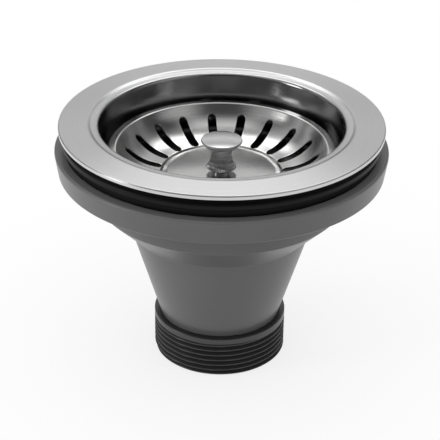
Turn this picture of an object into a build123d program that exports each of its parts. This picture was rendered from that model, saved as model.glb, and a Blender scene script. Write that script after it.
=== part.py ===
"""Basket strainer waste for a kitchen sink: a slotted basket in a flanged dish over a funnel body.

The frame's origin is the centre of the outlet's end face, and +Z points up along the axis.
Heights are measured up from the outlet's end, and depths down from the top of the flange.
"""
import os
from math import cos, radians, sin, tan

from build123d import *

# Heights of the stack, from the outlet's end up to the top of the flange
COLLAR_HEIGHT = 15.5
CONE_HEIGHT = 34.5
STEP_HEIGHT = 11.7
DRUM_HEIGHT = 11.4
RIM_HEIGHT = 8.6
BODY_GASKET_FOOT = 1.9
BODY_GASKET_BAND = 2.9
FLANGE_GASKET_HEIGHT = 2.4
FLANGE_EDGE = 1.9

# Clearances
SLIDING = 0.08
THREADED = 0.03
LOOSE = 0.3
DISH_CLEARANCE = 0.9
RUBBER_REST = 0.3
RUBBER_FIT = 0.1
NUT_CLEARANCE = 0.55
BASKET_GAP = 4.0
GASKET_SETBACK = 1.0

# Flange and dish, drawn from one sheet
SHEET = 0.9
MOUTH_RADIUS = 42.8
MOUTH_FALL = 0.3
MOUTH_BEND = 1.2
LIP_WIDTH = 4.0
LAND_RADIUS = MOUTH_RADIUS + LIP_WIDTH
LAND_STEP = 0.55
LAND_STEP_WIDTH = 1.1
LAND_BEND = 2.0
FLANGE_WIDTH = 10.2
FLANGE_RADIUS = LAND_RADIUS + FLANGE_WIDTH
FLANGE_FALL = 0.5
FLANGE_BEND = 1.0
GASKET_RADIUS = FLANGE_RADIUS - SHEET - RUBBER_FIT
WALL_BEND = 5.0
FLOOR_FALL = 1.9
SUMP_MOUTH_RADIUS = 21.0
SUMP_TAPER = 1.2
SUMP_FOOT_RADIUS = SUMP_MOUTH_RADIUS - SUMP_TAPER
SUMP_BEND = 2.5
DRAIN_COUNT = 10
DRAIN_RADIUS = 3.2

# Funnel body
RIM_OVERHANG = 1.7
RIM_DRAFT = 1.3
RIM_RADIUS = FLANGE_RADIUS + RIM_OVERHANG
RIM_FOOT_RADIUS = RIM_RADIUS - RIM_DRAFT
RIM_ROUNDING = 2.0
RIM_INNER_RADIUS = MOUTH_RADIUS + SHEET + DISH_CLEARANCE
DRUM_WALL = 2.2
DRUM_RADIUS = RIM_INNER_RADIUS + DRUM_WALL
DRUM_DRAFT = 2.6
SHOULDER_RADIUS = DRUM_RADIUS - DRUM_DRAFT
STEP_WIDTH = 11.8
STEP_RADIUS = SHOULDER_RADIUS - STEP_WIDTH
EDGE_ROUNDING = 0.8
STEP_ROUNDING = 2.0
BODY_WALL = 2.4
RIB_COUNT = 16
RIB_THICKNESS = 1.8
WEB_COUNT = 4
WEB_THICKNESS = 2.4
WEB_DEPTH = 11.0
BOSS_RADIUS = 8.2
BOSS_LENGTH = 17.0

# Outlet
THREAD_RADIUS = 23.9
SLEEVE_WALL = 2.7
SPIGOT_RADIUS = THREAD_RADIUS - SLEEVE_WALL
SPIGOT_WALL = 2.2
OUTLET_BORE_RADIUS = SPIGOT_RADIUS - SPIGOT_WALL
CONE_LEDGE = 0.7
CONE_FOOT_RADIUS = SPIGOT_RADIUS + CONE_LEDGE
COLLAR_TOP_BEVEL = 0.5
COLLAR_END_BEVEL = 1.1
RING_SECTION = 1.2

# Basket, pressed from one sheet
BASKET_SHEET = 0.8
BASKET_RIM_RADIUS = MOUTH_RADIUS - BASKET_GAP
BASKET_RIM_DEPTH = 9.8
RIM_ROLL_WIDTH = 1.6
RIM_ROLL_DROP = 1.7
DISC_SETBACK = 1.8
DISC_RADIUS = SUMP_MOUTH_RADIUS - DISC_SETBACK
DISC_DEPTH = 19.95
GROOVE_WIDTH = 1.7
GROOVE_RADIUS = DISC_RADIUS + GROOVE_WIDTH
GROOVE_DEPTH = DISC_DEPTH + 0.4
SLOT_LAND_RADIUS = GROOVE_RADIUS + 0.7
SLOT_LAND_DEPTH = DISC_DEPTH - 0.3
KNEE_INSET = 7.4
KNEE_RADIUS = BASKET_RIM_RADIUS - KNEE_INSET
KNEE_DEPTH = DISC_DEPTH - 2.1
KNEE_BEND = 17.0
SLOT_COUNT = 19
SLOT_GAP = 2.5
SLOT_INNER_RADIUS = SLOT_LAND_RADIUS + 0.1
SLOT_OUTER_RADIUS = KNEE_RADIUS + 3.0
FIRST_SLOT_DEG = 172.3

# Knob and post
CAP_RADIUS = 7.2
CAP_TAPER = 0.7
CAP_DEPTH = 7.6
CAP_THICKNESS = 1.3
CAP_DISH = 0.25
WAIST_RADIUS = 3.6
FLARE_RADIUS = 5.35
FLARE_RISE = 1.55
NECK_RADIUS = 3.3
KNOB_WASHER_RADIUS = 5.1
KNOB_WASHER_THICKNESS = 0.7
POST_RADIUS = 2.35
POST_HOLD = 7.0
POST_TIP = 4.0
LIFT = 8.0
DETENT_CUT = 0.3

# Stopper and what holds it
SEAL_OVERLAP = 2.2
SEAL_RADIUS = SUMP_MOUTH_RADIUS + SEAL_OVERLAP
SEAL_DROP = 1.15
SEAL_DISC_SETBACK = 0.5
SEAL_DISC_THICKNESS = 2.0
SEAL_LIP_THICKNESS = 1.4
SEAT_MARGIN = 1.4
SEAT_RADIUS = SEAL_RADIUS + SEAT_MARGIN
PLATE_SETBACK = 4.2
PLATE_RADIUS = DISC_RADIUS - PLATE_SETBACK
PLATE_THICKNESS = 1.0
LOCK_WASHER_RADIUS = 3.9
LOCK_WASHER_THICKNESS = 0.6
NUT_ACROSS_FLATS = 8.0
NUT_HEIGHT = 2.2

# Clamping screw, hollow for the basket's post
SCREW_RADIUS = 4.0
SCREW_LENGTH = 24.0
SCREW_HEAD_RADIUS = 6.9
SCREW_HEAD_HEIGHT = 5.2
BORE_SPARE = 4.5
SLOT_WIDTH = 1.6
SLOT_DEPTH = 1.5
WASHER_RADIUS = 8.4
WASHER_THICKNESS = 1.0
SCREW_SEAL_THICKNESS = 1.2
INSERT_RADIUS = 5.7
INSERT_LENGTH = 12.0
CATCH_WIRE = 0.9
CATCH_GAP_DEG = 50.0

# Levels of the body and the gaskets
COLLAR_TOP = COLLAR_HEIGHT
STEP_FOOT = COLLAR_TOP + CONE_HEIGHT
SHOULDER_FOOT = STEP_FOOT + STEP_HEIGHT
RIM_FOOT = SHOULDER_FOOT + DRUM_HEIGHT
RIM_TOP = RIM_FOOT + RIM_HEIGHT
BODY_GASKET_TOP = RIM_TOP + BODY_GASKET_FOOT + BODY_GASKET_BAND
FLANGE_TOP = BODY_GASKET_TOP + FLANGE_GASKET_HEIGHT + FLANGE_EDGE

# Levels inside the dish, down through the basket, its stopper and the screw to the sump's floor
BASKET_UNDERSIDE = FLANGE_TOP - DISC_DEPTH - BASKET_SHEET
KNOB_FOOT = FLANGE_TOP - DISC_DEPTH + KNOB_WASHER_THICKNESS
PLATE_TOP = BASKET_UNDERSIDE - SEAL_DISC_THICKNESS
NUT_TOP = PLATE_TOP - PLATE_THICKNESS - LOCK_WASHER_THICKNESS
SCREW_TOP = NUT_TOP - NUT_HEIGHT - NUT_CLEARANCE
SCREW_SEAT = SCREW_TOP - SCREW_HEAD_HEIGHT
SUMP_FLOOR = SCREW_SEAT - WASHER_THICKNESS - SCREW_SEAL_THICKNESS
BOSS_TOP = SUMP_FLOOR - SHEET - LOOSE
CATCH_LEVEL = SCREW_TOP - SLOT_DEPTH - CATCH_WIRE
POST_FOOT = CATCH_LEVEL - LIFT - POST_TIP
POST_BORE_RADIUS = POST_RADIUS + SLIDING

# Depths of the dish's floor, which follow from the stopper that seats on it
SEAT_DEPTH = DISC_DEPTH + BASKET_SHEET + SEAL_DISC_THICKNESS + SEAL_DROP
WALL_DEPTH = SEAT_DEPTH - FLOOR_FALL


def at_depth(depth):
    """Height of a level that is given as a depth below the top of the flange."""
    return FLANGE_TOP - depth


def turned(*points):
    """Solid of revolution about Z from the corners of its half section, as (radius, height)."""
    section = make_face(Polyline(*[(radius, 0, height) for radius, height in points], close=True))
    return revolve(section, Axis.Z)


def ring(inner, outer, foot, top):
    """Plain ring with square edges."""
    return turned((inner, foot), (outer, foot), (outer, top), (inner, top))


def upright(section):
    """Turn a section drawn as (radius, height) into the XZ plane."""
    return Plane.XZ * section


def turned_rounded(corners):
    """Solid of revolution from the corners of its half section, as (radius, height, rounding)."""
    points = [(radius, height) for radius, height, rounding in corners]
    roundings = [rounding for radius, height, rounding in corners]
    section = make_face(FilletPolyline(*points, radius=roundings, close=True))
    return revolve(upright(section), Axis.Z)


def fitted_bend(before, corner, after):
    """Bend at a corner, as drawn or as large as nine tenths of the shorter run beside it allow."""
    came = Vector(corner[0] - before[0], corner[1] - before[1])
    leaves = Vector(after[0] - corner[0], after[1] - corner[1])
    half_turn = radians(came.get_angle(leaves) / 2)
    return min(corner[2], 0.9 * min(came.length, leaves.length) / tan(half_turn))


def turned_sheet(corners, gauge):
    """Sheet turned about Z, from the line of its upper face drawn from the rim to the centre.

    The corners are (radius, height, bend), and the sheet's thickness lies below that line.
    """
    points = [(radius, height) for radius, height, bend in corners]
    bends = [fitted_bend(*trio) for trio in zip(corners, corners[1:], corners[2:])]
    line = FilletPolyline(*points, radius=bends)
    section = make_face(offset(line, amount=gauge, side=Side.LEFT))
    return revolve(upright(section), Axis.Z)


def around(shape, count, first_deg=0.0):
    """Copies of a shape at even angles about Z."""
    return [Rot(0, 0, first_deg + 360.0 * step / count) * shape for step in range(count)]


def flange_dish():
    """Drawn dish: flange, stepped lip, straight wall, sloping floor and perforated sump."""
    step_foot = at_depth(LAND_STEP)
    dish = turned_sheet(
        [
            (FLANGE_RADIUS, at_depth(FLANGE_EDGE), 0),
            (FLANGE_RADIUS, at_depth(FLANGE_FALL), FLANGE_BEND),
            (LAND_RADIUS, FLANGE_TOP, LAND_BEND),
            (LAND_RADIUS - LAND_STEP_WIDTH, step_foot, SHEET),
            (MOUTH_RADIUS, step_foot - MOUTH_FALL, MOUTH_BEND),
            (MOUTH_RADIUS, at_depth(WALL_DEPTH), WALL_BEND),
            (SEAT_RADIUS, at_depth(SEAT_DEPTH), WALL_BEND),
            (SUMP_MOUTH_RADIUS, at_depth(SEAT_DEPTH), 1.2 * SHEET),
            (SUMP_FOOT_RADIUS, SUMP_FLOOR, SUMP_BEND),
            (SCREW_RADIUS + LOOSE, SUMP_FLOOR, 0),
        ],
        SHEET,
    )
    drain_circle = (WASHER_RADIUS + SUMP_FOOT_RADIUS - SUMP_BEND / 2) / 2
    drill = Pos(drain_circle, 0, SUMP_FLOOR) * Cylinder(DRAIN_RADIUS, 4 * SHEET)
    return dish - around(drill, DRAIN_COUNT)


def flange_gasket():
    """Thin ring under the flange, inside its turned-down edge."""
    inner = LAND_RADIUS + GASKET_SETBACK
    under_edge = at_depth(FLANGE_FALL) - SHEET
    fall = FLANGE_FALL / FLANGE_WIDTH
    top_outer = under_edge + fall * (FLANGE_RADIUS - GASKET_RADIUS) - THREADED
    top_inner = under_edge + fall * (FLANGE_RADIUS - inner) - THREADED
    foot = BODY_GASKET_TOP
    return turned((inner, foot), (GASKET_RADIUS, foot), (GASKET_RADIUS, top_outer), (inner, top_inner))


def body_gasket():
    """Stepped rubber ring: a narrower foot on the body's rim and a wider band above it."""
    inner = RIM_INNER_RADIUS + GASKET_SETBACK / 2
    foot = RIM_FOOT_RADIUS - BODY_WALL + GASKET_SETBACK / 2
    step = RIM_TOP + BODY_GASKET_FOOT
    return turned(
        (inner, RIM_TOP), (foot, RIM_TOP), (foot, step),
        (GASKET_RADIUS, step), (GASKET_RADIUS, BODY_GASKET_TOP), (inner, BODY_GASKET_TOP),
    )


def body_shell():
    """Skin of the funnel: hollow rim, upright drum, steep step, long cone and outlet spigot."""
    hoop = RIM_FOOT_RADIUS - BODY_WALL
    channel = RIM_FOOT + BODY_WALL
    return turned_rounded([
        (SPIGOT_RADIUS, 0, 0),
        (SPIGOT_RADIUS, COLLAR_TOP, 0),
        (CONE_FOOT_RADIUS, COLLAR_TOP, 0),
        (STEP_RADIUS, STEP_FOOT, STEP_ROUNDING),
        (SHOULDER_RADIUS, SHOULDER_FOOT, EDGE_ROUNDING),
        (DRUM_RADIUS, RIM_FOOT, EDGE_ROUNDING),
        (RIM_FOOT_RADIUS, RIM_FOOT, EDGE_ROUNDING),
        (RIM_RADIUS, RIM_TOP, RIM_ROUNDING),
        (hoop, RIM_TOP, 0),
        (hoop, channel, 0),
        (DRUM_RADIUS, channel, 0),
        (DRUM_RADIUS, RIM_TOP, 0),
        (RIM_INNER_RADIUS, RIM_TOP, 0),
        (RIM_INNER_RADIUS, RIM_FOOT, EDGE_ROUNDING),
        (SHOULDER_RADIUS - BODY_WALL, SHOULDER_FOOT + BODY_WALL / 2, EDGE_ROUNDING),
        (STEP_RADIUS - BODY_WALL, STEP_FOOT + BODY_WALL / 2, EDGE_ROUNDING),
        (OUTLET_BORE_RADIUS, COLLAR_TOP, 0),
        (OUTLET_BORE_RADIUS, 0, 0),
    ])


def rim_ribs():
    """Ribs that carry the gasket across the channel in the rim, rooted half way into its walls."""
    foot = RIM_FOOT + BODY_WALL / 2
    length = RIM_FOOT_RADIUS - BODY_WALL / 2 - (DRUM_RADIUS - DRUM_WALL / 2)
    middle = DRUM_RADIUS - DRUM_WALL / 2 + length / 2
    height = RIM_TOP - foot
    rib = Pos(middle, 0, foot + height / 2) * Box(length, RIB_THICKNESS, height)
    return around(rib, RIB_COUNT, 180 / RIB_COUNT)


def centre_boss():
    """Boss for the threaded insert, carried by webs that stand on the cone's wall."""
    foot = BOSS_TOP - BOSS_LENGTH
    taper = (STEP_RADIUS - CONE_FOOT_RADIUS) / CONE_HEIGHT

    def wall_radius(height):
        return CONE_FOOT_RADIUS + taper * (height - COLLAR_TOP) - BODY_WALL / 2

    web_top = foot + WEB_DEPTH
    web_side = Polyline(
        (0, foot), (wall_radius(foot), foot), (wall_radius(web_top), web_top), (0, BOSS_TOP - BODY_WALL),
        close=True,
    )
    web = extrude(upright(make_face(web_side)), WEB_THICKNESS / 2, both=True)
    boss = ring(0, BOSS_RADIUS, foot, BOSS_TOP) + around(web, WEB_COUNT)
    pocket = ring(0, INSERT_RADIUS, BOSS_TOP - INSERT_LENGTH, BOSS_TOP)
    passage = ring(0, SCREW_RADIUS + LOOSE, foot, BOSS_TOP)
    return boss - pocket - passage


def funnel_body():
    """Moulded funnel in one piece, with a groove for the O-ring in its spigot."""
    groove = ring(SPIGOT_RADIUS - RING_SECTION, SPIGOT_RADIUS + 1, *ring_groove())
    return body_shell() + rim_ribs() + centre_boss() - groove


def ring_groove():
    """Lower and upper level of the O-ring's groove in the spigot."""
    middle = COLLAR_TOP / 2
    return middle - RING_SECTION * 0.75, middle + RING_SECTION * 0.75


def collar_ring():
    """O-ring that seals the spigot in the collar."""
    foot, top = ring_groove()
    centre = SPIGOT_RADIUS - RING_SECTION / 2 + SLIDING / 2
    return Pos(0, 0, (foot + top) / 2) * Torus(centre, RING_SECTION / 2)


def outlet_collar():
    """Outlet sleeve at the thread's outer size, with a lead-in bevel at its end."""
    bore = SPIGOT_RADIUS + SLIDING
    return turned(
        (bore, 0),
        (THREAD_RADIUS - COLLAR_END_BEVEL, 0),
        (THREAD_RADIUS, COLLAR_END_BEVEL),
        (THREAD_RADIUS, COLLAR_TOP - COLLAR_TOP_BEVEL),
        (THREAD_RADIUS - COLLAR_TOP_BEVEL, COLLAR_TOP),
        (bore, COLLAR_TOP),
    )


def boss_insert():
    """Brass insert that takes the clamping screw's thread."""
    return ring(SCREW_RADIUS + THREADED, INSERT_RADIUS, BOSS_TOP - INSERT_LENGTH, BOSS_TOP)


def screw_seal():
    """Rubber ring between the dish and the screw's washer."""
    return ring(SCREW_RADIUS + THREADED, WASHER_RADIUS - LOOSE, SUMP_FLOOR, SCREW_SEAT - WASHER_THICKNESS)


def screw_washer():
    """Steel washer under the screw's head."""
    return ring(SCREW_RADIUS + THREADED, WASHER_RADIUS, SCREW_SEAT - WASHER_THICKNESS, SCREW_SEAT)


def clamp_screw():
    """Clamping screw with a slotted head, bored for the post and grooved for the catch spring."""
    head = ring(0, SCREW_HEAD_RADIUS, SCREW_SEAT, SCREW_TOP)
    head = chamfer(head.edges().group_by(Axis.Z)[-1], SLOT_DEPTH / 3)
    shank = ring(0, SCREW_RADIUS, SCREW_SEAT - SCREW_LENGTH, SCREW_SEAT)
    shank = chamfer(shank.edges().group_by(Axis.Z)[0], SLOT_DEPTH / 2)
    slot = Pos(0, 0, SCREW_TOP) * Box(3 * SCREW_HEAD_RADIUS, SLOT_WIDTH, 2 * SLOT_DEPTH)
    bore = ring(0, POST_BORE_RADIUS, POST_FOOT - BORE_SPARE, SCREW_TOP)
    half = CATCH_WIRE / 2
    groove = ring(0, POST_BORE_RADIUS + CATCH_WIRE, CATCH_LEVEL - half, CATCH_LEVEL + half)
    return head + shank - slot - bore - groove


def catch_spring():
    """Open wire ring in the screw's head that snaps into the post's grooves."""
    centre = POST_BORE_RADIUS + CATCH_WIRE / 2
    wire = Pos(0, 0, CATCH_LEVEL) * Torus(centre, CATCH_WIRE / 2 - THREADED)
    half_gap = radians(CATCH_GAP_DEG / 2)
    across = 2 * centre * cos(half_gap)
    beside = 2 * centre * sin(half_gap)
    mouth = Polyline((0, 0), (across, beside), (across, -beside), close=True)
    return wire - Pos(0, 0, CATCH_LEVEL) * extrude(make_face(mouth), CATCH_WIRE, both=True)


def basket_slot():
    """Cutter for one radial slot with round ends."""
    length = SLOT_OUTER_RADIUS - SLOT_INNER_RADIUS
    middle = (SLOT_OUTER_RADIUS + SLOT_INNER_RADIUS) / 2
    reach = 2 * (SLOT_LAND_DEPTH - BASKET_RIM_DEPTH)
    return Pos(middle, 0, at_depth(SLOT_LAND_DEPTH) - reach / 2) * extrude(
        SlotOverall(length, SLOT_GAP), reach
    )


def strainer_basket():
    """Pressed basket: rolled rim, bowl with radial slots, groove and raised centre disc."""
    rim_top = at_depth(BASKET_RIM_DEPTH)
    basket = turned_sheet(
        [
            (BASKET_RIM_RADIUS, rim_top - RIM_ROLL_DROP, 0),
            (BASKET_RIM_RADIUS, rim_top, 1.1 * BASKET_SHEET),
            (BASKET_RIM_RADIUS - RIM_ROLL_WIDTH, rim_top, BASKET_SHEET / 2),
            (KNEE_RADIUS, at_depth(KNEE_DEPTH), KNEE_BEND),
            (SLOT_LAND_RADIUS, at_depth(SLOT_LAND_DEPTH), 1.1 * BASKET_SHEET),
            (GROOVE_RADIUS, at_depth(GROOVE_DEPTH), BASKET_SHEET / 3),
            (DISC_RADIUS, at_depth(DISC_DEPTH), 2 * BASKET_SHEET),
            (POST_RADIUS + THREADED, at_depth(DISC_DEPTH), 0),
        ],
        BASKET_SHEET,
    )
    return basket - around(basket_slot(), SLOT_COUNT, FIRST_SLOT_DEG)


def knob():
    """Turned knob: dished cap, trumpet stem and a flare above a short neck."""
    cap_top = at_depth(CAP_DEPTH)
    cap_foot = cap_top - CAP_THICKNESS
    cap_foot_radius = CAP_RADIUS - CAP_TAPER
    flare = at_depth(DISC_DEPTH) + FLARE_RISE
    edge = CAP_DISH
    outline = [
        Line((0, cap_top - CAP_DISH), (CAP_RADIUS - 2 * edge, cap_top)),
        Line((CAP_RADIUS - 2 * edge, cap_top), (CAP_RADIUS, cap_top - edge)),
        Line((CAP_RADIUS, cap_top - edge), (cap_foot_radius, cap_foot)),
        Line((cap_foot_radius, cap_foot), (WAIST_RADIUS + 2 * edge, cap_foot - edge)),
        Line((WAIST_RADIUS + 2 * edge, cap_foot - edge), (WAIST_RADIUS, cap_foot - 3 * edge)),
    ]
    stem_start = Vector(WAIST_RADIUS, cap_foot - 3 * edge)
    stem = Spline(
        stem_start, (FLARE_RADIUS, flare), tangents=[(0, -1), (0.75, -0.65)],
    )
    foot = [
        Line((FLARE_RADIUS, flare), (FLARE_RADIUS - edge, flare - 2 * edge)),
        Line((FLARE_RADIUS - edge, flare - 2 * edge), (NECK_RADIUS, flare - 3 * edge)),
        Line((NECK_RADIUS, flare - 3 * edge), (NECK_RADIUS, KNOB_FOOT)),
        Line((NECK_RADIUS, KNOB_FOOT), (0, KNOB_FOOT)),
        Line((0, KNOB_FOOT), (0, cap_top - CAP_DISH)),
    ]
    body = revolve(upright(make_face([*outline, stem, *foot])), Axis.Z)
    return body - ring(0, POST_RADIUS + THREADED, KNOB_FOOT, KNOB_FOOT + POST_HOLD)


def knob_washer():
    """Small round base between knob and basket."""
    edge = KNOB_WASHER_THICKNESS / 3
    foot = KNOB_FOOT - KNOB_WASHER_THICKNESS
    return turned(
        (POST_RADIUS + THREADED, foot),
        (KNOB_WASHER_RADIUS, foot),
        (KNOB_WASHER_RADIUS, KNOB_FOOT - edge),
        (KNOB_WASHER_RADIUS - edge, KNOB_FOOT),
        (POST_RADIUS + THREADED, KNOB_FOOT),
    )


def guide_post():
    """Post from the knob down into the hollow screw, with a groove for each height of the basket."""
    top = KNOB_FOOT + POST_HOLD - LOOSE
    post = ring(0, POST_RADIUS, POST_FOOT, top)
    post = chamfer(post.edges().group_by(Axis.Z)[0], POST_RADIUS / 4)
    half = CATCH_WIRE / 2
    for level in (CATCH_LEVEL, CATCH_LEVEL - LIFT):
        post -= ring(POST_RADIUS - DETENT_CUT, POST_RADIUS + 1, level - half, level + half)
    return post


def basket_seal():
    """Rubber stopper with a thin lip that closes on the seat round the sump."""
    lip_foot = at_depth(SEAT_DEPTH) + RUBBER_REST
    disc = DISC_RADIUS - SEAL_DISC_SETBACK
    lip_inner = disc - SEAL_LIP_THICKNESS
    return turned(
        (POST_RADIUS + THREADED, PLATE_TOP),
        (lip_inner, PLATE_TOP),
        (SEAL_RADIUS - SEAL_LIP_THICKNESS, lip_foot),
        (SEAL_RADIUS, lip_foot),
        (SEAL_RADIUS, lip_foot + SEAL_LIP_THICKNESS / 2),
        (disc, BASKET_UNDERSIDE),
        (POST_RADIUS + THREADED, BASKET_UNDERSIDE),
    )


def seal_plate():
    """Steel plate that backs the stopper."""
    return ring(POST_RADIUS + THREADED, PLATE_RADIUS, PLATE_TOP - PLATE_THICKNESS, PLATE_TOP)


def lock_washer():
    """Spring washer, split and closed flat under the nut."""
    washer = ring(POST_RADIUS + THREADED, LOCK_WASHER_RADIUS, NUT_TOP, NUT_TOP + LOCK_WASHER_THICKNESS)
    split = Box(LOCK_WASHER_RADIUS, LOCK_WASHER_THICKNESS / 2, 4 * LOCK_WASHER_THICKNESS)
    return washer - Pos(LOCK_WASHER_RADIUS, 0, NUT_TOP) * split


def post_nut():
    """Thin hexagon nut on the post."""
    corner_radius = NUT_ACROSS_FLATS / 2 / cos(radians(30))
    blank = extrude(RegularPolygon(corner_radius, 6), NUT_HEIGHT)
    crown = turned(
        (0, 0), (corner_radius - NUT_HEIGHT * tan(radians(10)), 0), (corner_radius, NUT_HEIGHT / 3),
        (corner_radius, NUT_HEIGHT), (0, NUT_HEIGHT),
    )
    nut = Pos(0, 0, NUT_TOP - NUT_HEIGHT) * (blank & crown)
    return nut - ring(0, POST_RADIUS + THREADED, NUT_TOP - NUT_HEIGHT, NUT_TOP)


PIECES = (
    flange_dish, flange_gasket, body_gasket, funnel_body, outlet_collar, collar_ring, boss_insert,
    screw_seal, screw_washer, clamp_screw, catch_spring, strainer_basket, knob, knob_washer,
    guide_post, basket_seal, seal_plate, lock_washer, post_nut,
)


def main():
    """Write one file for each piece."""
    os.makedirs("parts", exist_ok=True)
    for piece in PIECES:
        export_step(piece(), f"parts/{piece.__name__}.step")


if __name__ == "__main__":
    main()
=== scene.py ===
"""Looks of a basket strainer waste: finishes, thread, fluted knob, floor, light and camera."""
import logging
from collections.abc import Callable
from dataclasses import dataclass, field
from enum import Enum
from math import atan2, ceil, cos, degrees, pi, radians, sin, tan, tau

import bmesh
import bpy
from mathutils import Matrix, Vector


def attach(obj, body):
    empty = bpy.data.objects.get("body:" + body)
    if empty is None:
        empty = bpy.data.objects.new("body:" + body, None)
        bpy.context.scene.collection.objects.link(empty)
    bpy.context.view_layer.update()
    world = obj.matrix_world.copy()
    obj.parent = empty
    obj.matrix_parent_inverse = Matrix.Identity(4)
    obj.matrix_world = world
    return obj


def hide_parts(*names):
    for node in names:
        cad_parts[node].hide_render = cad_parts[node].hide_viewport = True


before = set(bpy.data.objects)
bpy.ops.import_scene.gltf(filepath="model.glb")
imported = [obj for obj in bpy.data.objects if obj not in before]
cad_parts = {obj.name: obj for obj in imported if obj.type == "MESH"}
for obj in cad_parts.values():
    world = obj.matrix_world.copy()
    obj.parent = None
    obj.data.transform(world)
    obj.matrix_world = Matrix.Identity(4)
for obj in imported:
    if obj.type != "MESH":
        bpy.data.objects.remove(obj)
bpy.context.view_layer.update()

LOG = logging.getLogger("waste")

Profile = list[tuple[float, float]]
Corners = tuple[tuple[float, float, float], ...]
Shape = Callable[[float, float, float], float]
Tone = tuple[float, float, float]
Tree = bpy.types.NodeTree
Socket = bpy.types.NodeSocket
Mesh = bpy.types.Mesh

ARC_STEP_DEG = 9.0
ARC_STEP = 0.8
BEND_SHARE = 0.9
GUARD = 0.15
GUARDED_RUNS = 4
SEGMENTS = 256
SHARP_DEG = 32.0
BROKEN_EDGE_DEG = 55.0
BROKEN_EDGE_STEPS = 2
AXIS_REACH = 0.001

PER_METRE = 1000.0
MARK_DETAIL = 3.0
PATCH_DETAIL = 2.0
METAL_PATCHES = 60.0
MOULDED_PATCHES = 45.0
MOULDED_ROUGHNESS_SPREAD = 0.06
BUMP_DISTANCE = 0.1
BRUSHED_TURN = 0.25
BLEND_STOPS = (0.3, 0.7)
CHANGE_WIDTH = 2.0


class Body(Enum):
    """The two bodies that move against each other."""

    WASTE = "waste"
    BASKET = "basket"


class Way(Enum):
    """Directions in which a finish can change over a piece, by the axis of ring_place."""

    OUT = "X"
    UP = "Y"


class Brushing(Enum):
    """Which way the marks of a metal finish run."""

    ROUND = "2D"
    PLAIN = "3D"


def mm(value: float) -> float:
    """Turn millimetres into metres.

    Args:
        value: A length in mm.

    Returns:
        The same length in metres.
    """
    return value / PER_METRE


def smooth_step(value: float, low: float, high: float) -> float:
    """Ease from 0 at one value to 1 at another.

    Args:
        value: Where the step is read.
        low: Where it starts.
        high: Where it ends.

    Returns:
        The eased share.
    """
    part = min(1.0, max(0.0, (value - low) / (high - low)))
    return part * part * (3.0 - 2.0 * part)


def left_of(run: Vector) -> Vector:
    """Point to the left of a run.

    Args:
        run: The run in a plane.

    Returns:
        The unit vector at a right angle to it.
    """
    return Vector((-run.y, run.x)).normalized()


def bend_line(corners: Corners, offset: float = 0.0) -> Profile:
    """Draw a line through corners, each one rounded by its own bend.

    Args:
        corners: Radius, height and bend of each corner, in mm.
        offset: How far to the left of the line its points are drawn.

    Returns:
        The line's points, close together in the bends and beside them.
    """
    places = [Vector((radius, height)) for radius, height, bend in corners]
    runs = [after - before for before, after in zip(places, places[1:])]
    points = [places[0] + left_of(runs[0]) * offset]
    for place, came, leaves, corner in zip(places[1:], runs, runs[1:], corners[1:]):
        turn = atan2(came.x * leaves.y - came.y * leaves.x, came.dot(leaves))
        slope = tan(abs(turn) / 2)
        reach = min(corner[2] * slope, BEND_SHARE * min(came.length, leaves.length))
        if reach < AXIS_REACH:
            middle = (came.normalized() + leaves.normalized()) / 2
            points.append(place + left_of(middle) * offset / cos(turn / 2))
            continue
        bend, side = reach / slope, (1 if turn > 0 else -1)
        start = place - came.normalized() * reach
        centre = start + left_of(came) * side * bend
        arm = (start - centre).normalized() * (bend - side * offset)
        steps = max(ceil(degrees(abs(turn)) / ARC_STEP_DEG), ceil(bend * abs(turn) / ARC_STEP))
        for step in range(steps + 1):
            points.append(centre + Matrix.Rotation(turn * step / steps, 2) @ arm)
    points.append(places[-1] + left_of(runs[-1]) * offset)
    return guarded([(point.x, point.y) for point in points])


def guarded(points: Profile) -> Profile:
    """Add a point just inside each end of a long run, so that shading stays even beside a bend.

    Args:
        points: The line's points.

    Returns:
        The same line with the added points.
    """
    result = []
    for before, after in zip(points, points[1:]):
        result.append(before)
        run = Vector(after) - Vector(before)
        if run.length > GUARDED_RUNS * GUARD:
            inset = run.normalized() * GUARD
            result.append(tuple(Vector(before) + inset))
            result.append(tuple(Vector(after) - inset))
    result.append(points[-1])
    return result


def closed_line(corners: Corners) -> Profile:
    """Draw a closed outline, starting half way along its last run.

    Args:
        corners: Radius, height and bend of each corner, in mm.

    Returns:
        The outline's points.
    """
    first, last = corners[0], corners[-1]
    middle = ((first[0] + last[0]) / 2, (first[1] + last[1]) / 2, 0.0)
    return bend_line((middle, *corners, middle))[:-1]


def sheet_outline(corners: Corners, gauge: float) -> Profile:
    """Draw the outline of a pressed sheet.

    Args:
        corners: Corners of its upper line, from the rim to the centre.
        gauge: The sheet's thickness.

    Returns:
        The outline's points.
    """
    return bend_line(corners) + bend_line(corners, gauge)[::-1]


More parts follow.
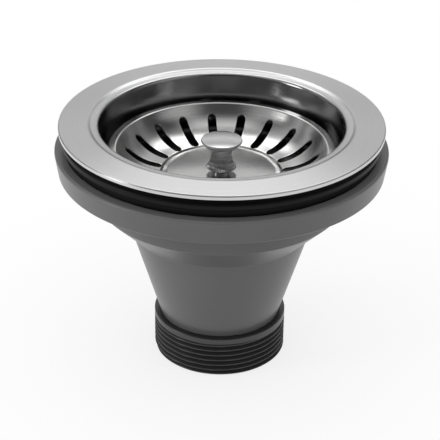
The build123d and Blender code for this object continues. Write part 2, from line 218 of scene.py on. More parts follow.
def lathe(name: str, outline: Profile, segments: int = SEGMENTS, shape: Shape | None = None) -> Mesh:
    """Turn a closed outline about Z.

    Args:
        name: The mesh's name.
        outline: Radius and height of each point, in mm.
        segments: How many steps make the full turn.
        shape: Radius of a point from its angle, drawn radius and height.

    Returns:
        The mesh, smooth and with its edges marked sharp.
    """
    turned = sum(a[0] * b[1] - b[0] * a[1] for a, b in zip(outline, outline[1:] + outline[:1]))
    if turned < 0:
        outline = outline[::-1]
    verts, rings = [], []
    for radius, height in outline:
        start = len(verts)
        if radius < AXIS_REACH:
            rings.append([start] * segments)
            verts.append((0.0, 0.0, mm(height)))
            continue
        rings.append(list(range(start, start + segments)))
        for step in range(segments):
            angle = tau * step / segments
            reach = mm(shape(angle, radius, height) if shape else radius)
            verts.append((reach * cos(angle), reach * sin(angle), mm(height)))
    faces = []
    for lower, upper in zip(rings, rings[1:] + rings[:1]):
        for step in range(segments):
            after = (step + 1) % segments
            face = list(dict.fromkeys((lower[step], lower[after], upper[after], upper[step])))
            if len(face) > 2:
                faces.append(face)
    mesh = bpy.data.meshes.new(name)
    mesh.from_pydata(verts, [], faces)
    return finished(mesh)


def finished(mesh: Mesh) -> Mesh:
    """Smooth a mesh and mark its sharp edges.

    Args:
        mesh: The mesh, which is changed.

    Returns:
        The same mesh.
    """
    mesh.update()
    mesh.shade_smooth()
    mesh.set_sharp_from_angle(angle=radians(SHARP_DEG))
    return mesh


def prism(outline: Profile, foot: float, top: float, turn: Matrix) -> bmesh.types.BMesh:
    """Raise an outline along Z.

    Args:
        outline: X and Y of its corners, anticlockwise, in mm.
        foot: Height of its foot.
        top: Height of its top.
        turn: How it is placed.

    Returns:
        The shape.
    """
    shape = bmesh.new()
    low = [shape.verts.new((mm(x), mm(y), mm(foot))) for x, y in outline]
    high = [shape.verts.new((mm(x), mm(y), mm(top))) for x, y in outline]
    shape.faces.new(low[::-1])
    shape.faces.new(high)
    for index in range(len(outline)):
        after = (index + 1) % len(outline)
        shape.faces.new((low[index], low[after], high[after], high[index]))
    shape.transform(turn)
    return shape


def round_ended(inner: float, outer: float, width: float, steps: int = 12) -> Profile:
    """Outline a slot along X with round ends, or a circle where it is as long as wide.

    Args:
        inner: X of its near end.
        outer: X of its far end.
        width: Its width.
        steps: How many steps make each round end.

    Returns:
        The outline's points, anticlockwise.
    """
    radius = width / 2
    points = []
    for centre, start_deg in ((outer - radius, -90.0), (inner + radius, 90.0)):
        for step in range(steps + 1):
            angle = radians(start_deg + 180.0 * step / steps)
            points.append((centre + radius * cos(angle), radius * sin(angle)))
    return points


def as_mesh(name: str, shape: bmesh.types.BMesh) -> Mesh:
    """Turn an edited shape into a mesh, and free it.

    Args:
        name: The mesh's name.
        shape: The shape.

    Returns:
        The mesh.
    """
    mesh = bpy.data.meshes.new(name)
    shape.to_mesh(mesh)
    shape.free()
    return mesh


def joined(name: str, parts: list[Mesh]) -> Mesh:
    """Put several meshes into one, and remove them.

    Args:
        name: The new mesh's name.
        parts: The meshes.

    Returns:
        The new mesh.
    """
    whole = bmesh.new()
    for part in parts:
        whole.from_mesh(part)
        bpy.data.meshes.remove(part)
    return as_mesh(name, whole)


def around(outline: Profile, levels: tuple[float, float], count: int, first_deg: float = 0.0) -> Mesh:
    """Set the same prism at even angles about Z.

    Args:
        outline: X and Y of its corners at angle 0, anticlockwise, in mm.
        levels: Heights of its foot and top.
        count: How many there are.
        first_deg: Angle of the first one.

    Returns:
        All of them in one mesh.
    """
    prisms = []
    for step in range(count):
        turn = Matrix.Rotation(radians(first_deg + 360.0 * step / count), 4, "Z")
        prisms.append(as_mesh("prism", prism(outline, *levels, turn)))
    return joined("prisms", prisms)


def punched(mesh: Mesh, cutter: Mesh, rounding: float) -> Mesh:
    """Cut openings into a mesh and break their edges.

    Args:
        mesh: The blank.
        cutter: What is cut away.
        rounding: Width of the broken edges, in mm.

    Returns:
        The cut mesh.
    """
    blank = bpy.data.objects.new("blank", mesh)
    tool = bpy.data.objects.new("tool", cutter)
    for item in (blank, tool):
        bpy.context.scene.collection.objects.link(item)
    cut = blank.modifiers.new("cut", "BOOLEAN")
    cut.operation = "DIFFERENCE"
    cut.solver = "EXACT"
    cut.object = tool
    broken = blank.modifiers.new("broken", "BEVEL")
    broken.width = mm(rounding)
    broken.segments = BROKEN_EDGE_STEPS
    broken.limit_method = "ANGLE"
    broken.angle_limit = radians(BROKEN_EDGE_DEG)
    graph = bpy.context.evaluated_depsgraph_get()
    result = bpy.data.meshes.new_from_object(blank.evaluated_get(graph))
    for item in (blank, tool):
        bpy.data.objects.remove(item)
    return finished(result)


@dataclass(frozen=True)
class Metal:
    """Steel or brass finish with turning or polishing marks.

    The tone is a linear grey or colour, and marks_per_mm is how fine the marks are. A finish can
    be smoother within a radius, with its tone scaled down there as painted shade and reflection,
    as (radius, roughness, share of its tone), and darker below a height as painted shade, as
    (height, share). Lengths are in mm.
    """

    name: str
    tone: Tone
    roughness: float
    anisotropy: float = 0.0
    brushing: Brushing = Brushing.ROUND
    marks_per_mm: float = 5.0
    mark_depth: float = 0.02
    tone_spread: float = 0.05
    roughness_spread: float = 0.05
    polished_and_shaded: tuple[float, float, float] | None = None
    painted_shade_below: tuple[float, float] | None = None

    def make(self) -> bpy.types.Material:
        """Build the node material.

        Returns:
            The finished material.
        """
        material, tree, shader = new_material(self.name)
        shader.inputs["Metallic"].default_value = 1.0
        place = tree.nodes.new("ShaderNodeTexCoord").outputs["Object"]
        drawn = ring_place(tree, place) if self.brushing is Brushing.ROUND else place
        marks = noise(tree, drawn, self.marks_per_mm * PER_METRE, MARK_DETAIL, self.brushing)
        patches = noise(tree, place, METAL_PATCHES, PATCH_DETAIL)
        tone = blended(tree, marks, self.tone, self.tone_spread)
        low = self.roughness - self.roughness_spread / 2
        rough = spread(tree, patches, low, low + self.roughness_spread)
        # painted shade: the tone is scaled down below a height
        if self.painted_shade_below:
            height, share = self.painted_shade_below
            tone = darkened(tree, tone, over(tree, place, Way.UP, height, share))
        # within the radius the lower roughness is the finish; the tone scaled down there is painted
        # shade and reflection
        if self.polished_and_shaded:
            radius, roughness, share = self.polished_and_shaded
            tone = darkened(tree, tone, over(tree, place, Way.OUT, radius, share))
            smoother = over(tree, place, Way.OUT, radius, roughness / self.roughness)
            rough = computed(tree, "MULTIPLY", rough, smoother)
        tree.links.new(tone, shader.inputs["Base Color"])
        tree.links.new(rough, shader.inputs["Roughness"])
        grained(tree, shader, marks, self.mark_depth)
        if self.anisotropy:
            tangent = tree.nodes.new("ShaderNodeTangent")
            tangent.direction_type = "RADIAL"
            tangent.axis = "Z"
            tree.links.new(tangent.outputs["Tangent"], shader.inputs["Tangent"])
            shader.inputs["Anisotropic"].default_value = self.anisotropy
            shader.inputs["Anisotropic Rotation"].default_value = BRUSHED_TURN
        return material


@dataclass(frozen=True)
class Moulded:
    """Moulded plastic or rubber with a fine grain and a soft sheen."""

    name: str
    tone: Tone
    roughness: float
    specular: float = 0.5
    grain_per_mm: float = 2.0
    grain_depth: float = 0.05
    tone_spread: float = 0.05

    def make(self) -> bpy.types.Material:
        """Build the node material.

        Returns:
            The finished material.
        """
        material, tree, shader = new_material(self.name)
        shader.inputs["Specular IOR Level"].default_value = self.specular
        place = tree.nodes.new("ShaderNodeTexCoord").outputs["Object"]
        grain = noise(tree, place, self.grain_per_mm * PER_METRE, PATCH_DETAIL)
        patches = noise(tree, place, MOULDED_PATCHES, PATCH_DETAIL)
        tone = blended(tree, patches, self.tone, self.tone_spread)
        rough = spread(tree, patches, self.roughness * (1 - MOULDED_ROUGHNESS_SPREAD),
                       self.roughness * (1 + MOULDED_ROUGHNESS_SPREAD))
        tree.links.new(tone, shader.inputs["Base Color"])
        tree.links.new(rough, shader.inputs["Roughness"])
        grained(tree, shader, grain, self.grain_depth)
        return material


def new_material(name: str) -> tuple[bpy.types.Material, Tree, bpy.types.Node]:
    """Start a node material.

    Args:
        name: The material's name.

    Returns:
        The material, its node tree and its main shader.
    """
    material = bpy.data.materials.new(name)
    material.use_nodes = True
    tree = material.node_tree
    return material, tree, tree.nodes["Principled BSDF"]


def grey(value: float) -> tuple[float, float, float, float]:
    """Make a full grey.

    Args:
        value: Its linear value.

    Returns:
        The colour with full alpha.
    """
    return (value, value, value, 1.0)


def noise(tree: Tree, place: Socket, scale: float, detail: float,
          brushing: Brushing = Brushing.PLAIN) -> Socket:
    """Spread noise over a piece.

    Args:
        tree: The tree that takes the node.
        place: The socket of the point's place.
        scale: How fine the noise is, per metre.
        detail: How many finer layers it has.
        brushing: Round for noise over a ring place, plain for noise in space.

    Returns:
        The socket of a value about 0.5.
    """
    node = tree.nodes.new("ShaderNodeTexNoise")
    node.noise_dimensions = brushing.value
    node.inputs["Scale"].default_value = scale
    node.inputs["Detail"].default_value = detail
    tree.links.new(place, node.inputs["Vector"])
    return node.outputs["Fac"]


def grained(tree: Tree, shader: bpy.types.Node, height: Socket, strength: float) -> None:
    """Give a shader a fine relief.

    Args:
        tree: The tree that takes the node.
        shader: The shader.
        height: The socket of the relief's height.
        strength: How strong it is.
    """
    bump = tree.nodes.new("ShaderNodeBump")
    bump.inputs["Strength"].default_value = strength
    bump.inputs["Distance"].default_value = mm(BUMP_DISTANCE)
    tree.links.new(height, bump.inputs["Height"])
    tree.links.new(bump.outputs["Normal"], shader.inputs["Normal"])


def graded(tree: Tree, value: Socket, stops: list[tuple[float, tuple]]) -> Socket:
    """Colour a value by stops.

    Args:
        tree: The tree that takes the node.
        value: The socket of the value.
        stops: Place between 0 and 1 and colour of each stop, in order.

    Returns:
        The colour socket.
    """
    node = tree.nodes.new("ShaderNodeValToRGB")
    elements = node.color_ramp.elements
    for place, _ in stops[1:-1]:
        elements.new(place)
    for element, (place, colour) in zip(elements, stops):
        element.position = place
        element.color = colour
    tree.links.new(value, node.inputs["Fac"])
    return node.outputs["Color"]


def blended(tree: Tree, value: Socket, tone: Tone, share: float) -> Socket:
    """Blend a tone from a little darker to a little lighter by a value.

    Args:
        tree: The tree that takes the node.
        value: The socket of the value.
        tone: The tone.
        share: How much darker and lighter it gets.

    Returns:
        The colour socket.
    """
    low, high = BLEND_STOPS
    dark = tuple(channel * (1 - share) for channel in tone) + (1.0,)
    light = tuple(channel * (1 + share) for channel in tone) + (1.0,)
    return graded(tree, value, [(low, dark), (high, light)])


def spread(tree: Tree, value: Socket, low: float, high: float) -> Socket:
    """Map a value between 0 and 1 onto a range.

    Args:
        tree: The tree that takes the node.
        value: The socket that gives the value.
        low: Result at 0.
        high: Result at 1.

    Returns:
        The socket of the mapped value.
    """
    node = tree.nodes.new("ShaderNodeMapRange")
    node.inputs["To Min"].default_value = low
    node.inputs["To Max"].default_value = high
    tree.links.new(value, node.inputs["Value"])
    return node.outputs["Result"]


def ring_place(tree: Tree, place: Socket) -> Socket:
    """Turn a place into its distance from the Z axis and its height, so that marks run round.

    Args:
        tree: The tree that takes the nodes.
        place: The socket of the point's place.

    Returns:
        The socket of a vector of distance and height.
    """
    parts = tree.nodes.new("ShaderNodeSeparateXYZ")
    tree.links.new(place, parts.inputs[0])
    flat = tree.nodes.new("ShaderNodeCombineXYZ")
    tree.links.new(parts.outputs["X"], flat.inputs["X"])
    tree.links.new(parts.outputs["Y"], flat.inputs["Y"])
    length = tree.nodes.new("ShaderNodeVectorMath")
    length.operation = "LENGTH"
    tree.links.new(flat.outputs[0], length.inputs[0])
    ring = tree.nodes.new("ShaderNodeCombineXYZ")
    tree.links.new(length.outputs["Value"], ring.inputs["X"])
    tree.links.new(parts.outputs["Z"], ring.inputs["Y"])
    return ring.outputs[0]


def computed(tree: Tree, operation: str, one: Socket, other: Socket | float) -> Socket:
    """Combine two values by a math node.

    Args:
        tree: The tree that takes the node.
        operation: What the node does.
        one: The socket of its first value.
        other: The socket of its second value, or a number.

    Returns:
        The socket of the result.
    """
    node = tree.nodes.new("ShaderNodeMath")
    node.operation = operation
    tree.links.new(one, node.inputs[0])
    if isinstance(other, float):
        node.inputs[1].default_value = other
    else:
        tree.links.new(other, node.inputs[1])
    return node.outputs[0]


def mixed(tree: Tree, share: Socket, one: Socket, other: Socket) -> Socket:
    """Blend from one colour to another by a value.

    Args:
        tree: The tree that takes the node.
        share: The socket of the value.
        one: Colour at 0.
        other: Colour at 1.

    Returns:
        The colour socket.
    """
    node = tree.nodes.new("ShaderNodeMix")
    node.data_type = "RGBA"
    tree.links.new(share, node.inputs["Factor"])
    tree.links.new(one, node.inputs["A"])
    tree.links.new(other, node.inputs["B"])
    return node.outputs["Result"]


def darkened(tree: Tree, tone: Socket, share: Socket) -> Socket:
    """Scale a colour by a value.

    Args:
        tree: The tree that takes the node.
        tone: The colour socket.
        share: The socket of the value.

    Returns:
        The socket of the scaled colour.
    """
    node = tree.nodes.new("ShaderNodeVectorMath")
    node.operation = "SCALE"
    tree.links.new(tone, node.inputs[0])
    tree.links.new(share, node.inputs["Scale"])
    return node.outputs[0]


def over(tree: Tree, place: Socket, way: Way, middle: float, before: float) -> Socket:
    """Change from a value to 1 over a short way along a piece.

    Args:
        tree: The tree that takes the nodes.
        place: The socket of the point's place.
        way: Out from the Z axis, or up.
        middle: Where it changes, in mm.
        before: Value before.

    Returns:
        The socket of the value.
    """
    parts = tree.nodes.new("ShaderNodeSeparateXYZ")
    tree.links.new(ring_place(tree, place), parts.inputs[0])
    node = tree.nodes.new("ShaderNodeMapRange")
    node.inputs["From Min"].default_value = mm(middle - CHANGE_WIDTH / 2)
    node.inputs["From Max"].default_value = mm(middle + CHANGE_WIDTH / 2)
    node.inputs["To Min"].default_value = before
    tree.links.new(parts.outputs[way.value], node.inputs["Value"])
    return node.outputs["Result"]


# painted shade: the dish's tone drops to 70 % inside 43.6 mm, as painted shade and reflection on the
# wall, which is also smoother as its finish, and to 15 % below 72 mm, so that the slots and the floor
# under the basket read dark
DISH_STEEL = Metal("dish_steel", (0.62, 0.62, 0.62), 0.3, anisotropy=0.75,
                   polished_and_shaded=(43.6, 0.16, 0.7), painted_shade_below=(72.0, 0.15))
BASKET_STEEL = Metal("basket_steel", (0.64, 0.64, 0.635), 0.2, anisotropy=0.6)
# painted shade: the knob's tone drops to 68 % below 82.2 mm, darkening the stem under the cap
KNOB_STEEL = Metal("knob_steel", (0.64, 0.64, 0.64), 0.14, brushing=Brushing.PLAIN,
                   marks_per_mm=2.0, painted_shade_below=(82.2, 0.68))
SCREW_STEEL = Metal("screw_steel", (0.58, 0.58, 0.58), 0.34, brushing=Brushing.PLAIN,
                    marks_per_mm=2.0)
INSERT_BRASS = Metal("insert_brass", (0.7, 0.53, 0.25), 0.35, brushing=Brushing.PLAIN,
                     marks_per_mm=2.0)
BODY_PLASTIC = Moulded("body_plastic", (0.14, 0.14, 0.142), 0.34)
COLLAR_PLASTIC = Moulded("collar_plastic", (0.016, 0.0155, 0.015), 0.36, specular=0.8)
BLACK_RUBBER = Moulded("black_rubber", (0.003, 0.003, 0.003), 0.6, specular=0.04)
GREY_RUBBER = Moulded("grey_rubber", (0.004, 0.004, 0.004), 0.4, specular=0.16)

FINISHES = {
    "flange_dish": DISH_STEEL,
    "flange_gasket": BLACK_RUBBER,
    "body_gasket": GREY_RUBBER,
    "funnel_body": BODY_PLASTIC,
    "outlet_collar": COLLAR_PLASTIC,
    "collar_ring": BLACK_RUBBER,
    "boss_insert": INSERT_BRASS,
    "screw_seal": BLACK_RUBBER,
    "screw_washer": SCREW_STEEL,
    "clamp_screw": SCREW_STEEL,
    "catch_spring": SCREW_STEEL,
    "strainer_basket": BASKET_STEEL,
    "knob": KNOB_STEEL,
    "knob_washer": KNOB_STEEL,
    "guide_post": SCREW_STEEL,
    "basket_seal": BLACK_RUBBER,
    "seal_plate": SCREW_STEEL,
    "lock_washer": SCREW_STEEL,
    "post_nut": SCREW_STEEL,
}


def dress(piece: bpy.types.Object, material: bpy.types.Material) -> None:
    """Give a piece one material.

    Args:
        piece: The piece.
        material: Its material.
    """
    piece.data.materials.clear()
    piece.data.materials.append(material)


@dataclass
class Dresser:
    """Puts finishes on the pieces that the frame carries, and on those built in their place."""

    finishes: dict[str, Metal | Moulded]
    made: dict[str, bpy.types.Material] = field(default_factory=dict)

    def material(self, finish: Metal | Moulded) -> bpy.types.Material:
        """Give the material of a finish, made once.

        Args:
            finish: The finish.

        Returns:
            Its material.
        """
        if finish.name not in self.made:
            self.made[finish.name] = finish.make()
        return self.made[finish.name]

    def dress_all(self) -> None:
        """Dress every node of the frame."""
        for name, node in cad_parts.items():
            dress(node, self.material(self.finishes[name]))
            LOG.info("dressed %s with %s", name, self.finishes[name].name)

    def stand_in(self, name: str, mesh: Mesh, body: Body, node: str) -> bpy.types.Object:
        """Put a finer mesh in the place of a node of the frame.

        Args:
            name: The new piece's name.
            mesh: Its mesh.
            body: The body that it rides on.
            node: The node that it stands for, which also gives its finish.

        Returns:
            The piece.
        """
        piece = bpy.data.objects.new(name, mesh)
        bpy.context.scene.collection.objects.link(piece)
        dress(piece, self.material(self.finishes[node]))
        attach(piece, body.value)
        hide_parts(node)
        LOG.info("built %s with %d faces", name, len(mesh.polygons))
        return piece


@dataclass
class Dish:
    """Drawn dish: flange, stepped lip, wall, floor and sump with drain holes. Sizes are in mm."""

    sheet: float = 0.9
    upper_line: Corners = (
        (57.0, 88.9, 0.0), (57.0, 90.3, 0.5), (46.8, 90.8, 2.0), (45.7, 90.25, 0.9),
        (42.8, 89.95, 1.2), (42.8, 68.8, 5.0), (24.6, 66.9, 5.0), (21.0, 66.9, 1.08),
        (19.8, 56.3, 2.5), (4.3, 56.3, 0.0),
    )
    lower_edge_bend: float = 1.0
    drain_count: int = 10
    drain_radius: float = 3.2
    drain_circle: float = 13.475
    drain_rounding: float = 0.1

    def build(self, dresser: Dresser) -> None:
        """Build the pressing and punch its drain holes.

        Args:
            dresser: Takes the piece.
        """
        first, edge, *others = self.upper_line
        lower_line = (first, (edge[0], edge[1], self.lower_edge_bend), *others)
        outline = bend_line(self.upper_line) + bend_line(lower_line, self.sheet)[::-1]
        hole = round_ended(self.drain_circle - self.drain_radius,
                           self.drain_circle + self.drain_radius, 2 * self.drain_radius)
        floor = self.upper_line[-1][1]
        holes = around(hole, (floor - 2 * self.sheet, floor + self.sheet), self.drain_count)
        mesh = punched(lathe("dish", outline), holes, self.drain_rounding)
        dresser.stand_in("dish_pressing", mesh, Body.WASTE, "flange_dish")


@dataclass
class Basket:
    """Pressed basket: rolled rim, bowl with radial slots, groove and disc. Sizes are in mm."""

    sheet: float = 0.6
    upper_line: Corners = (
        (40.3, 79.0, 0.0), (40.3, 80.7, 1.2), (37.1, 80.9, 0.9), (31.4, 72.95, 17.0),
        (21.6, 71.15, 0.88), (20.9, 70.45, 0.27), (19.2, 70.85, 1.6), (2.38, 70.85, 0.0),
    )
    segments: int = 304
    slot_count: int = 19
    slot_width: float = 3.2
    slot_reach: tuple[float, float] = (21.5, 34.7)
    slot_levels: tuple[float, float] = (60.0, 79.0)
    slot_rounding: float = 0.08
    first_slot_deg: float = 172.3

    def build(self, dresser: Dresser) -> None:
        """Build the pressing and punch its slots.

        Args:
            dresser: Takes the piece.
        """
        blank = lathe("basket", sheet_outline(self.upper_line, self.sheet), self.segments)
        slot = round_ended(*self.slot_reach, self.slot_width)
        slots = around(slot, self.slot_levels, self.slot_count, self.first_slot_deg)
        mesh = punched(blank, slots, self.slot_rounding)
        dresser.stand_in("basket_pressing", mesh, Body.BASKET, "strainer_basket")


@dataclass
class Knob:
    """Turned knob: serrated cap, trumpet stem with flutes, and washer. Sizes are in mm."""

    cap: Corners = (
        (0.0, 83.85, 0.0), (3.6, 83.85, 42.0), (7.1, 83.3, 0.25), (7.4, 83.0, 0.15),
        (7.2, 82.4, 0.2), (6.3, 82.0, 0.2), (6.2, 81.2, 0.2), (4.2, 81.1, 0.3),
    )
    cap_edge: float = 83.25
    stem_top: tuple[float, float] = (3.7, 80.7)
    stem_foot: tuple[float, float] = (5.35, 73.0)
    stem_leaves: tuple[float, float] = (0.75, -0.65)
    foot: Profile = ((5.3, 72.75), (5.0, 72.55), (3.3, 72.75), (3.3, 71.55), (0.0, 71.55))
    stem_steps: int = 40
    segments: int = 570
    flute_count: int = 38
    flute_levels: tuple[float, float] = (73.0, 78.5)
    flute_start: float = 0.1
    flute_fade: float = 3.0
    flute_depth: float = 0.3
    serration_count: int = 57
    serration_depth: float = 0.07
    serration_fade: float = 0.2
    serrated_from: tuple[float, float] = (6.0, 6.7)
    washer: Corners = ((2.4, 70.85, 0.0), (3.5, 70.85, 0.05), (3.5, 71.55, 0.15), (2.4, 71.55, 0.0))

    def stem_line(self) -> Profile:
        """Draw the stem, upright at the cap and flaring at the foot.

        Returns:
            Its points from the cap down.
        """
        start, end = Vector(self.stem_top), Vector(self.stem_foot)
        length = (end - start).length
        out, into = Vector((0.0, -1.0)) * length, Vector(self.stem_leaves) * length
        points = []
        for step in range(self.stem_steps + 1):
            part = step / self.stem_steps
            square, cube = part ** 2, part ** 3
            point = (start * (2 * cube - 3 * square + 1) + out * (cube - 2 * square + part)
                     + end * (3 * square - 2 * cube) + into * (cube - square))
            points.append(tuple(point))
        return points

    def cut(self, angle: float, radius: float, height: float) -> float:
        """Cut flutes and serration into the knob's skin.

        Args:
            angle: Angle of a point, in radians.
            radius: Its drawn radius.
            height: Its height.

        Returns:
            Its radius.
        """
        low, high = self.flute_levels
        if height > self.stem_top[1]:
            outer = smooth_step(radius, *self.serrated_from)
            edge = outer * smooth_step(self.cap_edge - height, 0.0, self.serration_fade)
            return radius - self.serration_depth * edge * (1 - cos(self.serration_count * angle)) / 2
        if height < low - self.flute_start:
            return radius
        fade = 1 - smooth_step(height, high - self.flute_fade, high)
        return radius - self.flute_depth * fade * (1 - abs(cos(self.flute_count * angle / 2)))

    def build(self, dresser: Dresser) -> None:
        """Turn the knob and its washer.

        Args:
            dresser: Takes the pieces.
        """
        outline = bend_line(self.cap)[:-1] + self.stem_line() + list(self.foot)
        knob = lathe("knob", outline, self.segments, self.cut)
        washer = lathe("washer", closed_line(self.washer))
        dresser.stand_in("knob_turned", knob, Body.BASKET, "knob")
        dresser.stand_in("washer_turned", washer, Body.BASKET, "knob_washer")


@dataclass
class Gaskets:
    """The two rubber rings under the flange, with their edges softened. Sizes are in mm."""

    upper: Corners = ((47.8, 86.9, 0.0), (55.8, 86.9, 0.25), (55.8, 89.3, 0.0), (47.8, 89.8, 0.0))
    lower: Corners = (
        (45.1, 81.7, 0.0), (54.9, 81.7, 0.2), (54.9, 84.1, 0.2), (56.1, 84.1, 0.9),
        (56.1, 86.9, 1.0), (45.1, 86.9, 0.0),
    )

    def build(self, dresser: Dresser) -> None:
        """Mould both rings.

        Args:
            dresser: Takes the pieces.
        """
        upper = lathe("flange_ring", closed_line(self.upper))
        lower = lathe("body_ring", closed_line(self.lower))
        dresser.stand_in("flange_ring", upper, Body.WASTE, "flange_gasket")
        dresser.stand_in("body_ring", lower, Body.WASTE, "body_gasket")


@dataclass
class Funnel:
    """Moulded body: ribbed rim, drum, step, cone, spigot, and a boss on webs. Sizes are in mm."""

    skin: Corners = (
        (21.2, 0.0, 0.0), (21.2, 15.5, 0.0), (21.9, 15.5, 0.1), (32.4, 50.0, 2.0),
        (44.2, 61.7, 0.8), (46.8, 73.1, 0.8), (57.4, 73.1, 0.8), (58.7, 81.7, 0.9),
        (55.0, 81.7, 0.0), (55.0, 75.5, 0.0), (46.8, 75.5, 0.0), (46.8, 81.7, 0.3),
        (44.6, 81.7, 0.3), (44.6, 73.1, 0.8), (41.8, 62.9, 0.8), (30.0, 51.2, 0.8),
        (19.0, 15.5, 0.0), (19.0, 0.0, 0.0),
    )
    rib_count: int = 16
    rib_reach: tuple[float, float] = (45.7, 56.2)
    rib_thickness: float = 1.8
    rib_levels: tuple[float, float] = (74.3, 81.65)
    boss: Corners = ((4.3, 38.1, 0.0), (8.2, 38.1, 0.3), (8.2, 55.1, 0.3), (4.3, 55.1, 0.0))
    boss_segments: int = 96
    web_count: int = 4
    web_thickness: float = 2.4
    web_side: Profile = ((5.8, 38.1), (27.0, 38.1), (30.3, 49.1), (5.8, 52.7))

    def webs(self) -> Mesh:
        """Build the upright webs that stand on the cone's wall and carry the boss.

        Returns:
            All of them in one mesh.
        """
        half = self.web_thickness / 2
        upright = Matrix.Rotation(pi / 2, 4, "X")
        shapes = []
        for step in range(self.web_count):
            turn = Matrix.Rotation(tau * step / self.web_count, 4, "Z")
            shapes.append(as_mesh("web", prism(self.web_side, -half, half, turn @ upright)))
        return joined("webs", shapes)

    def build(self, dresser: Dresser) -> None:
        """Mould the body in one piece.

        Args:
            dresser: Takes the piece.
        """
        inner, outer = self.rib_reach
        half = self.rib_thickness / 2
        rib = [(inner, -half), (outer, -half), (outer, half), (inner, half)]
        parts = [
            lathe("skin", closed_line(self.skin)),
            lathe("boss", closed_line(self.boss), self.boss_segments),
            self.webs(),
            around(rib, self.rib_levels, self.rib_count, 180.0 / self.rib_count),
        ]
        mesh = finished(joined("funnel", parts))
        dresser.stand_in("funnel_moulding", mesh, Body.WASTE, "funnel_body")


@dataclass
class Outlet:
    """Outlet sleeve with its outside thread. Sizes are in mm."""

    bore: float = 21.28
    crest: float = 24.1
    height: float = 15.5
    top_bend: float = 0.5
    band: float = 13.3
    pitch: float = 2.04
    first_crest: float = 2.35
    depth: float = 1.2
    crest_share: float = 0.16
    flank_share: float = 0.74
    run_out: float = 0.5
    bevel: float = 0.6
    rows_per_turn: int = 14
    segments: int = 192

    def cut(self, angle: float, radius: float, height: float) -> float:
        """Cut the thread into the sleeve's skin.

        Args:
            angle: Angle of a point, in radians.
            radius: Its drawn radius.
            height: Its height.

        Returns:
            Its radius.
        """
        if radius < self.crest - self.bevel and height > self.bevel:
            return radius
        turns = (height - self.first_crest) / self.pitch - (angle + pi / 2) / tau
        aside = 2 * abs(turns - round(turns))
        groove = self.depth * min(1.0, max(0.0, (aside - self.crest_share) / self.flank_share))
        groove *= smooth_step(self.band - height, 0.0, self.run_out)
        inside = radius < (self.bore + self.crest) / 2
        return radius if inside else min(radius, self.crest - groove)

    def build(self, dresser: Dresser) -> None:
        """Turn the sleeve and cut its thread.

        Args:
            dresser: Takes the piece.
        """
        threaded = self.band - self.bevel
        rows = ceil(threaded / self.pitch * self.rows_per_turn)
        top = ((self.crest, self.band, 0.0), (self.crest, self.height, self.top_bend),
               (self.bore, self.height, 0.0))
        outline = [(self.bore, 0.0), (self.crest - self.bevel, 0.0),
                   (self.crest - self.bevel / 2, self.bevel / 2)]
        outline += [(self.crest, self.bevel + threaded * row / rows) for row in range(rows + 1)]
        outline += bend_line(top)[1:]
        mesh = lathe("outlet", outline, self.segments, self.cut)
        dresser.stand_in("outlet_thread", mesh, Body.WASTE, "outlet_collar")


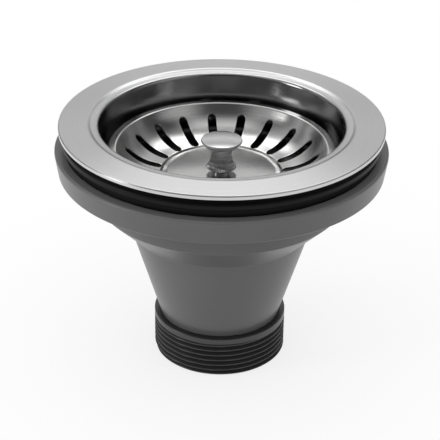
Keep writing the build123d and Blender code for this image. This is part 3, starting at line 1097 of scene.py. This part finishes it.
@dataclass
class Studio:
    """Pale floor, soft box, surroundings and camera.

    Places and sizes are in metres. Each of mirrored_arcs is an angle up from the back, over the
    top and down to the front, and the grey that metal mirrors there on the left, in the middle
    and on the right. side_turn is how far aside a direction points where the middle ends and the
    side begins.
    """

    floor_size: float = 12.0
    floor_tone: float = 0.3
    floor_lift: float = 0.74
    target: tuple[float, float, float] = (mm(-0.27), 0.0, mm(51.1))
    distance: float = mm(539.24)
    look_down_deg: float = 28.384
    roll_deg: float = 0.71
    lens_mm: float = 122.25
    sensor_mm: float = 36.0
    clip_start: float = 0.01
    surround_tone: float = 0.85
    mirrored_strength: float = 4.0
    mirrored_arcs: tuple[tuple[float, float, float, float], ...] = (
        (0, 0.02, 0.02, 0.02), (14, 0.02, 0.1, 0.02), (26, 0.03, 0.21, 0.06),
        (38, 0.13, 0.12, 0.03), (52, 0.04, 0.99, 0.06), (70, 0.12, 0.05, 0.02),
        (95, 0.02, 0.22, 0.01), (120, 0.12, 0.02, 0.13), (150, 0.01, 0.01, 0.08),
    )
    side_turn: tuple[float, float] = (0.2, 0.6)
    box_place: tuple[float, float, float] = (-0.8, -0.25, 0.3)
    box_aim: tuple[float, float, float] = (0.0, 0.0, 0.06)
    box_size: tuple[float, float] = (0.25, 0.6)
    box_watts: float = 1.4

    def camera(self) -> None:
        """Place the camera where the photograph was taken from."""
        data = bpy.data.cameras.new("camera")
        data.lens = self.lens_mm
        data.sensor_width = self.sensor_mm
        data.clip_start = self.clip_start
        camera = bpy.data.objects.new("camera", data)
        bpy.context.scene.collection.objects.link(camera)
        down = radians(self.look_down_deg)
        back = Vector((0.0, -cos(down), sin(down)))
        turn = Matrix.Rotation(pi / 2 - down, 4, "X") @ Matrix.Rotation(radians(self.roll_deg), 4, "Z")
        camera.matrix_world = Matrix.Translation(Vector(self.target) + back * self.distance) @ turn
        bpy.context.scene.camera = camera

    def floor(self) -> None:
        """Lay the floor, which keeps the shadow and shows white where nothing shades it."""
        shape = bmesh.new()
        bmesh.ops.create_grid(shape, x_segments=1, y_segments=1, size=self.floor_size / 2)
        floor = bpy.data.objects.new("floor", as_mesh("floor", shape))
        bpy.context.scene.collection.objects.link(floor)
        material, tree, shader = new_material("floor_white")
        material.cycles.emission_sampling = "NONE"
        shader.inputs["Base Color"].default_value = grey(self.floor_tone)
        shader.inputs["Roughness"].default_value = 1.0
        shader.inputs["Specular IOR Level"].default_value = 0.0
        shader.inputs["Emission Color"].default_value = grey(1.0)
        rays = tree.nodes.new("ShaderNodeLightPath")
        seen = rays.outputs["Is Camera Ray"]
        for kind in ("Is Glossy Ray", "Is Transmission Ray"):
            seen = computed(tree, "MAXIMUM", seen, rays.outputs[kind])
        lift = computed(tree, "MULTIPLY", seen, self.floor_lift)
        tree.links.new(lift, shader.inputs["Emission Strength"])
        dress(floor, material)

    def surroundings(self) -> None:
        """Light the object evenly, and give metal a studio of light and dark arcs to mirror."""
        world = bpy.data.worlds.new("surroundings")
        bpy.context.scene.world = world
        world.use_nodes = True
        world.cycles.sampling_method = "NONE"
        tree = world.node_tree
        tree.nodes.clear()
        place = tree.nodes.new("ShaderNodeTexCoord")
        parts = tree.nodes.new("ShaderNodeSeparateXYZ")
        tree.links.new(place.outputs["Generated"], parts.inputs[0])
        arc = computed(tree, "ARCTAN2", parts.outputs["Z"], parts.outputs["Y"])
        turn = computed(tree, "DIVIDE", arc, pi)
        left, middle, right = (
            graded(tree, turn, [(arc[0] / 180.0, grey(arc[side])) for arc in self.mirrored_arcs])
            for side in (1, 2, 3)
        )
        leftward = self.aside(tree, parts.outputs["X"], -1.0)
        rightward = self.aside(tree, parts.outputs["X"], 1.0)
        arc_tone = mixed(tree, rightward, mixed(tree, leftward, middle, left), right)
        mirrored = tree.nodes.new("ShaderNodeBackground")
        mirrored.inputs["Strength"].default_value = self.mirrored_strength
        tree.links.new(arc_tone, mirrored.inputs["Color"])
        plain = tree.nodes.new("ShaderNodeBackground")
        plain.inputs["Color"].default_value = grey(self.surround_tone)
        rays = tree.nodes.new("ShaderNodeLightPath")
        background = tree.nodes.new("ShaderNodeMixShader")
        tree.links.new(rays.outputs["Is Glossy Ray"], background.inputs["Fac"])
        tree.links.new(plain.outputs[0], background.inputs[1])
        tree.links.new(mirrored.outputs[0], background.inputs[2])
        output = tree.nodes.new("ShaderNodeOutputWorld")
        tree.links.new(background.outputs[0], output.inputs["Surface"])

    def aside(self, tree: Tree, across: Socket, side: float) -> Socket:
        """Tell how far a direction points to one side.

        Args:
            tree: The tree that takes the node.
            across: The socket of the direction's X.
            side: -1 for the left and 1 for the right.

        Returns:
            The socket of a value from 0 to 1.
        """
        node = tree.nodes.new("ShaderNodeMapRange")
        node.interpolation_type = "SMOOTHSTEP"
        node.inputs["From Min"].default_value = self.side_turn[0] * side
        node.inputs["From Max"].default_value = self.side_turn[1] * side
        tree.links.new(across, node.inputs["Value"])
        return node.outputs["Result"]

    def soft_box(self) -> None:
        """Hang the soft box on the left."""
        data = bpy.data.lights.new("left_box", "AREA")
        data.shape = "RECTANGLE"
        data.size, data.size_y = self.box_size
        data.energy = self.box_watts
        lamp = bpy.data.objects.new("left_box", data)
        lamp.location = self.box_place
        facing = Vector(self.box_aim) - Vector(self.box_place)
        lamp.rotation_euler = facing.to_track_quat("-Z", "Y").to_euler()
        bpy.context.scene.collection.objects.link(lamp)

    def set_up(self) -> None:
        """Make the whole studio."""
        bpy.context.scene.view_settings.view_transform = "Standard"
        self.camera()
        self.floor()
        self.surroundings()
        self.soft_box()


def main() -> None:
    """Build and dress everything in order."""
    logging.basicConfig(level=logging.INFO)
    Studio().set_up()
    dresser = Dresser(FINISHES)
    dresser.dress_all()
    for assembly in (Dish(), Basket(), Knob(), Gaskets(), Funnel(), Outlet()):
        assembly.build(dresser)


if __name__ == "__main__":
    main()
